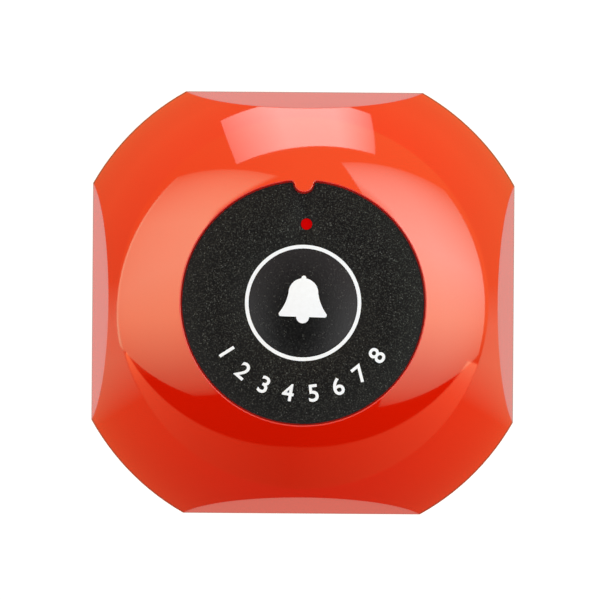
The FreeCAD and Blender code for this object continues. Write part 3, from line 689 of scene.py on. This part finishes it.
# ---- Label ----
@dataclass
class LabelAssembly:
    """The grained film, its printing and the numbers round the button."""

    edge_round: float = 0.03 * MM
    flat_deg: float = 0.5
    rim_deg: float = 60.0
    number_count: int = 8
    number_height: float = 3.3 * MM
    number_radius: float = 12.6 * MM
    first_deg: float = 213.0
    last_deg: float = 325.0
    ink: float = 0.02 * MM
    ink_spread: float = 0.05 * MM

    def film(self) -> None:
        """The label film, with the cut edge just broken."""
        bm = welded_copy("face_label")
        flat = math.radians(self.flat_deg)
        bmesh.ops.dissolve_limit(bm, angle_limit=flat, verts=bm.verts, edges=bm.edges)
        top = max(vert.co.z for vert in bm.verts)
        rim = [
            edge
            for edge in bm.edges
            if len(edge.link_faces) == 2
            and all(abs(vert.co.z - top) < WELD for vert in edge.verts)
            and edge.calc_face_angle() > math.radians(self.rim_deg)
        ]
        bmesh.ops.bevel(
            bm, geom=rim, offset=self.edge_round, affect="EDGES", segments=2, profile=0.5, material=-1
        )
        bmesh.ops.triangulate(bm, faces=bm.faces)
        piece = new_piece("label_film", bm, "label_film")
        soften(piece, 30.0)
        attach(piece, "housing")
        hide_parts("face_label")

    def number_mesh(self, text: str) -> bpy.types.Mesh:
        """One number as a thin mesh, upright in the XY plane round the origin."""
        curve = bpy.data.curves.new("figure", "FONT")
        curve.body = text
        curve.size = self.number_height
        curve.extrude = self.ink / 2.0
        curve.offset = self.ink_spread
        curve.align_x = "CENTER"
        curve.align_y = "CENTER"
        curve.resolution_u = 6
        holder = placed("figure", curve)
        bpy.context.view_layer.update()
        mesh = bpy.data.meshes.new_from_object(holder)
        bpy.data.curves.remove(curve)
        return mesh

    def numbers(self) -> None:
        """Plain numbers printed on an arc round the lower half of the ring."""
        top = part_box("face_label")[1].z
        bm = bmesh.new()
        for index in range(self.number_count):
            share = index / (self.number_count - 1)
            angle = math.radians(self.first_deg + share * (self.last_deg - self.first_deg))
            place = Vector((math.cos(angle), math.sin(angle), 0.0)) * self.number_radius
            place.z = top + self.ink / 2.0
            upright = Matrix.Translation(place) @ Matrix.Rotation(angle + FULL_TURN / 4.0, 4, "Z")
            mesh = self.number_mesh(str(index + 1))
            mesh.transform(upright)
            bm.from_mesh(mesh)
            bpy.data.meshes.remove(mesh)
        bmesh.ops.remove_doubles(bm, verts=bm.verts, dist=WELD)
        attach(new_piece("label_numbers", bm, "white_ink"), "housing")

    def build(self) -> None:
        """Builds the label."""
        self.film()
        self.numbers()


# ---- Push button ----
@dataclass
class PushButtonAssembly:
    """The domed middle of the film and the bell printed on it."""

    radius: float = 7.4 * MM
    rise: float = 0.65 * MM
    skirt: float = 0.12 * MM
    skirt_drop: float = 0.02 * MM
    film: float = 0.28 * MM
    rings: int = 28
    steps: int = 160
    travel: float = 0.5 * MM

    def crown(self, radius: float) -> float:
        """Height of the crown above its edge, at a radius."""
        ball = (self.radius**2 + self.rise**2) / (2.0 * self.rise)
        return math.sqrt(ball**2 - radius**2) - (ball - self.rise)

    def flatten(self, piece: Piece) -> None:
        """Attaches a piece to the housing and gives it its own copy of its mesh."""
        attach(piece, "housing")
        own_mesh(piece)

    def dome(self) -> None:
        """The pressed dome of the film, closed under its top."""
        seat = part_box("face_label")[1].z
        radii = [self.radius * index / self.rings for index in range(self.rings + 1)]
        top = [(radius, seat + self.crown(radius)) for radius in radii]
        edge = [(self.radius + self.skirt, seat - drop) for drop in (self.skirt_drop, self.film)]
        under = [(radius, height - self.film) for radius, height in reversed(top)]
        bm = turned_body(top + edge + under, self.steps)
        piece = new_piece("button_film", bm, "label_film", BUTTON_FILM)
        soften(piece, 25.0)
        self.flatten(piece)
        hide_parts("button_dome")

    def bell(self) -> None:
        """The printed bell, which follows the dome."""
        piece = new_piece("bell_sign", welded_copy("bell_print"), "white_ink")
        soften(piece, 30.0)
        self.flatten(piece)
        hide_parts("bell_print")

    def build(self) -> None:
        """Builds the button."""
        self.dome()
        self.bell()


# ---- Switch ----
@dataclass
class SwitchAssembly:
    """The switch's snap dome."""

    travel: float = 0.25 * MM

    def build(self) -> None:
        """Builds the dome as a welded copy of the imported one, in the housing."""
        piece = new_piece("snap_dome_strip", welded_copy("switch_snap_dome"), "contact_steel")
        soften(piece, 30.0)
        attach(piece, "housing")
        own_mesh(piece)
        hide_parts("switch_snap_dome")


# ---- Base ----
@dataclass
class BaseAssembly:
    """The four screws under the case, with rounded heads and a cross recess."""

    head_radius: float = 2.1 * MM
    head_height: float = 1.1 * MM
    head_round: float = 0.45 * MM
    round_steps: int = 4
    shank_radius: float = 1.1 * MM
    thread_depth: float = 0.12 * MM
    thread_pitch: float = 0.7 * MM
    cross_reach: float = 1.15 * MM
    cross_width: float = 0.5 * MM
    cross_depth: float = 0.62 * MM
    cross_taper: Point = (0.45, 0.7, 1.0)
    first_turn_deg: float = 20.0
    next_turn_deg: float = 31.0
    steps: int = 48

    def screw_profile(self, low: float, seat: float, tip: float) -> list[tuple[float, float]]:
        """Outline of a screw, from the middle of its head to its tip.

        Args:
            low: Height of the head's face.
            seat: Height of the head's seat.
            tip: Height of the screw's tip.

        Returns:
            Radius and height of each point.
        """
        points = [(0.0, low), (self.head_radius - self.head_round, low)]
        for index in range(1, self.round_steps + 1):
            turn = math.radians(90.0 / self.round_steps * index)
            radius = self.head_radius - self.head_round * (1.0 - math.sin(turn))
            points.append((radius, low + self.head_round * (1.0 - math.cos(turn))))
        core = self.shank_radius - self.thread_depth
        points += [(self.head_radius, seat), (core, seat)]
        height = seat + self.thread_pitch
        while height + self.thread_pitch < tip:
            points.append((core, height))
            points.append((self.shank_radius, height + self.thread_pitch / 3.0))
            points.append((core, height + self.thread_pitch * 2.0 / 3.0))
            height += self.thread_pitch
        return points + [(core, tip - self.thread_pitch / 2.0), (0.0, tip)]

    def cross_cutter(self, low: float) -> Mesh:
        """Tapered cross that is cut out of a screw head."""
        bm = bmesh.new()
        for quarter in (0, 1):
            arm = bmesh.ops.create_cube(bm, size=1.0)["verts"]
            size = (2.0 * self.cross_reach, self.cross_width, 2.0 * self.cross_depth)
            bmesh.ops.scale(bm, verts=arm, vec=size)
            inner = [vert for vert in arm if vert.co.z > 0.0]
            bmesh.ops.scale(bm, verts=inner, vec=self.cross_taper)
            turn = Matrix.Rotation(quarter * FULL_TURN / 4.0, 3, "Z")
            bmesh.ops.rotate(bm, verts=arm, cent=(0.0, 0.0, 0.0), matrix=turn)
            bmesh.ops.translate(bm, verts=arm, vec=(0.0, 0.0, low))
        return bm

    def carved(self, body: Mesh, cutter: Mesh) -> bpy.types.Mesh:
        """Cuts one mesh out of another.

        Args:
            body: Mesh that is cut, and freed.
            cutter: Mesh that is taken away, and freed.

        Returns:
            The result, as a new mesh.
        """
        whole, cross = bare_piece("screw_body", body), bare_piece("screw_cross", cutter)
        cut = whole.modifiers.new("cut", "BOOLEAN")
        cut.operation = "DIFFERENCE"
        cut.solver = "EXACT"
        cut.use_self = True
        cut.object = cross
        bpy.context.view_layer.update()
        evaluated = whole.evaluated_get(bpy.context.evaluated_depsgraph_get())
        result = bpy.data.meshes.new_from_object(evaluated)
        for spent in (whole.data, cross.data):
            bpy.data.meshes.remove(spent)
        return result

    def build(self) -> None:
        """Builds all four screws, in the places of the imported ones."""
        low_corner, high_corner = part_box("base_screws")
        low = low_corner.z
        profile = self.screw_profile(low, low + self.head_height, high_corner.z)
        mesh = self.carved(turned_body(profile, self.steps), self.cross_cutter(low))
        offset = high_corner.x - self.head_radius
        bm = bmesh.new()
        for index in range(4):
            screw = mesh.copy()
            turn_deg = self.first_turn_deg + self.next_turn_deg * index
            turn = Matrix.Rotation(math.radians(turn_deg), 4, "Z")
            corner = Matrix.Rotation(index * FULL_TURN / 4.0, 4, "Z") @ Vector((offset, offset, 0.0))
            screw.transform(Matrix.Translation(corner) @ turn)
            bm.from_mesh(screw)
            bpy.data.meshes.remove(screw)
        bpy.data.meshes.remove(mesh)
        piece = new_piece("case_screws", bm, "screw_steel")
        soften(piece, 35.0)
        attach(piece, "housing")
        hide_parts("base_screws")


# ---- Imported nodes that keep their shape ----
@dataclass
class PackedNodes:
    """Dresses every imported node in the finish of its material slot."""

    def dress(self) -> None:
        """Gives each node the material that its slot names."""
        for entry in frame["record"]["subparts"]:
            node = frame["nodes"][entry["node"]]
            finish = SLOT_FINISHES[entry["material_slot"]]
            for holder in node.material_slots:
                holder.material = finish.material()
            log.info("%s: packed, in %s", entry["node"], finish.name)


# ---- Studio ----
@dataclass
class OverheadCamera:
    """Camera that looks straight down on the button."""

    foot: float = 0.8 * MM
    distance: float = 550.0 * MM
    view_width: float = 85.41 * MM
    offset: Pair = (-0.427 * MM, 0.399 * MM)
    sensor: float = 36.0

    def build(self) -> None:
        """Creates the camera and makes it the scene's."""
        data = bpy.data.cameras.new("overhead_camera")
        data.sensor_width = self.sensor
        data.lens = self.sensor * self.distance / self.view_width
        data.clip_start = 0.01
        camera = placed("overhead_camera", data)
        camera.location = (*self.offset, self.foot + self.distance)
        camera.rotation_euler = (0.0, 0.0, math.radians(STUDIO_TURN_DEG))
        bpy.context.scene.camera = camera


@dataclass
class LightPanel:
    """Soft rectangular lamp whose brightness varies over it. Lengths are in millimetres.

    The anchor is a point of the lower edge. Along gives the edge's direction, up the direction in
    which the panel rises, and the reaches say how far it goes from the anchor. Places on it are
    shares: along the edge from the near end to the far end, and upward from the edge. A bend is
    where the top edge starts to drop towards an end, and how steeply.
    """

    name: str
    anchor: Point
    along: Point
    up: Point
    reach_back: float
    reach_front: float
    rise: float
    radiance: float
    tint: Colour = WHITE
    low_share: float = 1.0
    low_reach: float = 0.7
    top: float = 2.0
    top_soft: float = 0.02
    near_bend: Pair = (0.0, 0.0)
    far_bend: Pair = (1.0, 0.0)
    edge_share: float = 1.0
    edge_band: Pair = (0.03, 0.045)
    near_end: float = 1.0
    near_band: Pair = (0.0, 0.3)
    near_slant: float = 0.0
    far_end: float = 1.0
    far_reach: float = 0.3
    end_power: float = 1.0
    near_tint: Colour = WHITE
    far_tint: Colour = WHITE
    far_tint_band: Pair = (0.8, 0.93)
    lights_matt: bool = True
    aim_height: float = 15.0
    watts_share: float = 4.0

    def paint(self, sheet: NodeSheet, turned: bool) -> Inputs:
        """Paints the panel's brightness, which is cut along a bent top edge.

        Args:
            sheet: The lamp's nodes.
            turned: Whether the lamp's own X runs against the lower edge's direction.

        Returns:
            What goes into the emission's inputs.
        """
        run, height, _ = sheet.axes(sheet.add("ShaderNodeNewGeometry").outputs["Parametric"])
        if turned:
            run = sheet.math("SUBTRACT", 1.0, run)
        rise = sheet.remap(height, 0.0, self.low_reach, self.low_share)
        line = sheet.remap(height, *self.edge_band, self.edge_share)
        slanted = sheet.math("SUBTRACT", run, sheet.math("MULTIPLY", height, self.near_slant))
        near = sheet.remap(slanted, *self.near_band, self.near_end)
        far = sheet.remap(run, 1.0 - self.far_reach, 1.0, 1.0, self.far_end)
        before = sheet.math("MAXIMUM", sheet.math("SUBTRACT", self.near_bend[0], run))
        after = sheet.math("MAXIMUM", sheet.math("SUBTRACT", run, self.far_bend[0]))
        fall = sheet.math("MULTIPLY", before, self.near_bend[1])
        drop = sheet.math("ADD", fall, sheet.math("MULTIPLY", after, self.far_bend[1]))
        over = sheet.math("SUBTRACT", sheet.math("ADD", height, drop), self.top)
        inside = sheet.remap(over, -self.top_soft, self.top_soft, 1.0, 0.0)
        bent = sheet.math("POWER", sheet.math("MULTIPLY", near, far), self.end_power)
        ends = sheet.math("MULTIPLY", line, bent)
        rest = sheet.blend(sheet.remap(run, *self.far_tint_band), WHITE, self.far_tint)
        return {
            "Strength": sheet.math("MULTIPLY", inside, sheet.math("MULTIPLY", rise, ends)),
            "Color": sheet.blend(sheet.remap(slanted, *self.near_band), self.near_tint, rest),
        }

    def build(self) -> None:
        """Creates the lamp."""
        along = Vector(self.along).normalized()
        up = Vector(self.up)
        up = (up - along * up.dot(along)).normalized()
        facing = along.cross(up)
        middle = Vector(self.anchor) + along * (self.reach_back - self.reach_front) / 2.0
        middle += up * self.rise / 2.0
        turned = facing.dot(Vector((0.0, 0.0, self.aim_height)) - middle) > 0.0
        if turned:
            facing, along = -facing, -along
        data = bpy.data.lights.new(self.name, "AREA")
        data.shape = "RECTANGLE"
        data.size = (self.reach_back + self.reach_front) * MM
        data.size_y = self.rise * MM
        data.energy = self.radiance * data.size * data.size_y * self.watts_share
        data.color = self.tint
        data.use_nodes = True
        sheet = NodeSheet(data.node_tree)
        sheet.feed(sheet.find("EMISSION"), self.paint(sheet, turned))
        studio = Matrix.Rotation(math.radians(STUDIO_TURN_DEG), 4, "Z")
        turn = Matrix((along, up, facing)).transposed().to_4x4()
        lamp = placed(self.name, data)
        lamp.matrix_world = studio @ Matrix.Translation(middle * MM) @ turn
        lamp.visible_camera = False
        lamp.visible_diffuse = self.lights_matt


@dataclass(frozen=True)
class TableTop(Finish):
    """Table that is white to the camera and grey to everything else.

    Its glow shows in the button's gloss only, as a painted reflection: pale cards beside the flat
    sides, and a glowing table tone round them, painted darker near the case. Each band is where one
    tone gives way to the next.
    """

    drift: Pair = (8.0, 0.01)
    camera_glow: float = 0.95
    card_reach: float = 39.0 * MM
    card_half: float = 16.7 * MM
    card_soft: float = 0.8 * MM
    card_left: Colour = (1.0, 0.72, 0.64)
    card_right: Colour = (0.75, 0.72, 0.64)
    card_back: Colour = (0.96, 0.72, 0.64)
    card_front: Colour = (1.15, 0.39, 0.3)
    back_from: float = 20.0 * MM
    back_to: float = 29.0 * MM
    table_left: Colour = (0.85, 0.48, 0.165)
    table_back: Colour = (0.7, 0.68, 0.22)
    table_rear: Colour = (1.6, 0.6, 0.195)
    table_front: Colour = (1.1, 0.14, 0.07)
    table_corner: Colour = (1.35, 0.36, 0.115)
    left_end: Colour = (1.0, 1.1, 0.62)
    right_end: Colour = (1.1, 1.25, 0.68)
    end_band: Pair = (0.73, 0.91)
    left_band: Pair = (-0.8, 0.0)
    rear_band: Pair = (0.3, 0.9)
    back_band: Pair = (-0.12, 0.1)
    near_shade_share: float = 0.8
    near_band: Pair = (36.0 * MM, 50.0 * MM)

    def paint(self, sheet: NodeSheet) -> Inputs:
        """Paints the matt table, and its glow by what looks at it."""
        rays = sheet.add("ShaderNodeLightPath").outputs
        mirrored = sheet.blend(rays["Is Glossy Ray"], BLACK, self.glow(sheet))
        return {
            "Base Color": sheet.blend(rays["Is Glossy Ray"], self.tone(sheet), BLACK),
            "Roughness": self.roughness,
            "Specular IOR Level": 0.0,
            "Emission Color": sheet.blend(rays["Is Camera Ray"], mirrored, (self.camera_glow,) * 3),
            "Emission Strength": 1.0,
        }

    def glow(self, sheet: NodeSheet) -> Socket:
        """Colour of the painted reflection: the cards, with the glowing table tone round them."""
        reach = sheet.add("ShaderNodeVectorMath", {0: sheet.spot}, operation="LENGTH").outputs["Value"]
        across, depth, _ = sheet.axes(sheet.spot)
        beside = sheet.math("DIVIDE", across, reach)
        behind = sheet.math("DIVIDE", depth, reach)
        side = sheet.math("MULTIPLY", beside, beside)
        front = sheet.blend(side, self.table_front, self.table_corner)
        ends = sheet.blend(sheet.remap(beside, -1.0, 1.0), self.left_end, self.right_end)
        front = sheet.blend(sheet.remap(side, *self.end_band), front, ends)
        back = sheet.blend(sheet.remap(beside, *self.left_band), self.table_left, self.table_back)
        back = sheet.blend(sheet.remap(behind, *self.rear_band), back, self.table_rear)
        # Painted shade: the glow behind the case is darker near its foot, in place of its shadow on
        # the table.
        back = sheet.blend(sheet.remap(reach, *self.near_band, self.near_shade_share), BLACK, back)
        around = sheet.blend(sheet.remap(behind, *self.back_band), front, back)
        wide = sheet.math("ABSOLUTE", across)
        deep = sheet.math("ABSOLUTE", depth)
        inside = [
            sheet.remap(sheet.math(choice, wide, deep), limit, limit + self.card_soft, 1.0, 0.0)
            for choice, limit in (("MAXIMUM", self.card_reach), ("MINIMUM", self.card_half))
        ]
        half = sheet.remap(across, -self.card_reach, self.card_reach)
        pale = sheet.blend(half, self.card_left, self.card_right)
        pale = sheet.blend(sheet.remap(depth, self.back_from, self.back_to), pale, self.card_back)
        beyond = sheet.remap(depth, -self.back_to, -self.back_from)
        card = sheet.blend(beyond, self.card_front, pale)
        return sheet.blend(sheet.math("MULTIPLY", *inside), around, card)


@dataclass
class Studio:
    """White table, light panels and the room round them."""

    table_side: float = 3.0
    table_top: TableTop = TableTop("white_table_top", (0.2, 0.17, 0.12), 0.9)
    room_left: Colour = (1.45, 0.58, 0.17)
    room_back: Colour = (1.5, 0.83, 0.25)
    room_front: Colour = (0.02, 0.008, 0.002)
    left_band: Pair = (-0.8, 0.0)
    room_band: Pair = (-0.45, -0.1)
    above_back: Colour = (0.95, 0.85, 0.87)
    above_front: Colour = (1.85, 1.84, 1.88)
    behind_band: Pair = (-0.2, 0.2)
    above_band: Pair = (0.63, 0.69)
    gap_centre: Point = (-0.04, -0.1, 0.98)
    gap_squash: Point = (1.0, 0.6, 1.0)
    gap_band: Pair = (0.12, 0.42)
    gap_share: float = 0.05

    def table(self) -> None:
        """The table under the button."""
        bm = bmesh.new()
        bmesh.ops.create_grid(bm, x_segments=8, y_segments=8, size=self.table_side / 2.0)
        table = bare_piece("white_table", bm)
        table.data.materials.append(self.table_top.material())

    def room(self) -> None:
        """Background: white to the camera, else dark in front, warm behind and pale above.

        What is above has a dark gap where the camera looks down.
        """
        world = bpy.data.worlds.new("studio_room")
        bpy.context.scene.world = world
        world.use_nodes = True
        sheet = NodeSheet(world.node_tree)
        direction = sheet.add("ShaderNodeTexCoord").outputs["Generated"]
        across, depth, height = sheet.axes(direction)
        back = sheet.blend(sheet.remap(across, *self.left_band), self.room_left, self.room_back)
        low = sheet.blend(sheet.remap(depth, *self.room_band), self.room_front, back)
        inputs = {0: direction, 1: self.gap_squash}
        squashed = sheet.add("ShaderNodeVectorMath", inputs, operation="MULTIPLY").outputs[0]
        inputs = {0: squashed, 1: self.gap_centre}
        apart = sheet.add("ShaderNodeVectorMath", inputs, operation="DISTANCE").outputs["Value"]
        above = sheet.blend(sheet.remap(depth, *self.behind_band), self.above_front, self.above_back)
        above = sheet.blend(sheet.remap(apart, *self.gap_band, self.gap_share), BLACK, above)
        walls = sheet.blend(sheet.remap(height, *self.above_band), low, above)
        seen = sheet.add("ShaderNodeLightPath").outputs["Is Camera Ray"]
        sheet.feed(sheet.find("BACKGROUND"), {"Color": sheet.blend(seen, walls, WHITE)})

    def panels(self) -> Iterable[LightPanel]:
        """The lamps: two leaning side panels, a low one behind and a dim card in front."""
        yield LightPanel(
            "left_panel", (-400.0, 0.0, 9.3), (0.15, 0.98, 0.12), (0.89, -0.19, 0.41),
            355.0, 98.0, 330.0, 2.1, tint=(0.47, 0.9, 0.62), low_share=0.64, edge_share=1.6,
            top=0.79, far_bend=(0.66, -0.56), near_bend=(0.3, -0.7),
            near_end=0.0, near_band=(-0.25, 0.23), near_slant=0.3, near_tint=(1.0, 0.97, 0.75),
            far_end=0.07, far_reach=0.4, end_power=0.55,
        )
        yield LightPanel(
            "right_panel", (400.0, 0.0, 26.6), (-0.07, 1.0, 0.03), (-0.95, -0.07, 0.3),
            306.0, 123.0, 318.0, 2.75, tint=(0.48, 0.96, 0.91), low_share=0.53, edge_share=1.2,
            top=0.93, top_soft=0.05, far_bend=(0.62, -0.6), near_bend=(0.3, -0.8),
            near_end=0.0, near_band=(-0.21, 0.35), near_slant=0.2, near_tint=(1.0, 0.97, 0.6),
            far_end=0.05, far_reach=0.55, end_power=0.65,
        )
        yield LightPanel(
            "back_panel", (-30.7, 67.8, 3.1), (60.1, 14.6, -2.8), (4.4, -12.9, 27.0),
            61.9, 0.0, 30.3, 2.75, near_end=0.34, near_band=(0.0, 0.35), far_end=0.33,
            lights_matt=False,
        )
        yield LightPanel(
            "front_card", (0.0, -300.0, 10.3), (1.0, 0.0, 0.0), (0.0, 0.0, 1.0),
            850.0, 1050.0, 137.7, 0.4, tint=(1.0, 0.27, 0.108), near_tint=(0.7, 1.0, 1.0),
            top=0.931, near_bend=(0.54, 1.35), far_bend=(0.54, 0.477),
            near_end=2.85, near_band=(0.0, 0.54), far_end=2.84, far_reach=0.46, end_power=2.0,
            far_tint=(0.62, 1.2, 1.6),
        )

    def build(self) -> None:
        """Builds the table, the room and the lamps."""
        bpy.context.scene.view_settings.view_transform = "Standard"
        self.table()
        self.room()
        for panel in self.panels():
            panel.build()


def main() -> None:
    """Builds everything, in order."""
    OverheadCamera().build()
    PackedNodes().dress()
    CaseAssembly().build()
    LabelAssembly().build()
    PushButtonAssembly().build()
    SwitchAssembly().build()
    BaseAssembly().build()
    Studio().build()


if __name__ == "__main__":
    main()
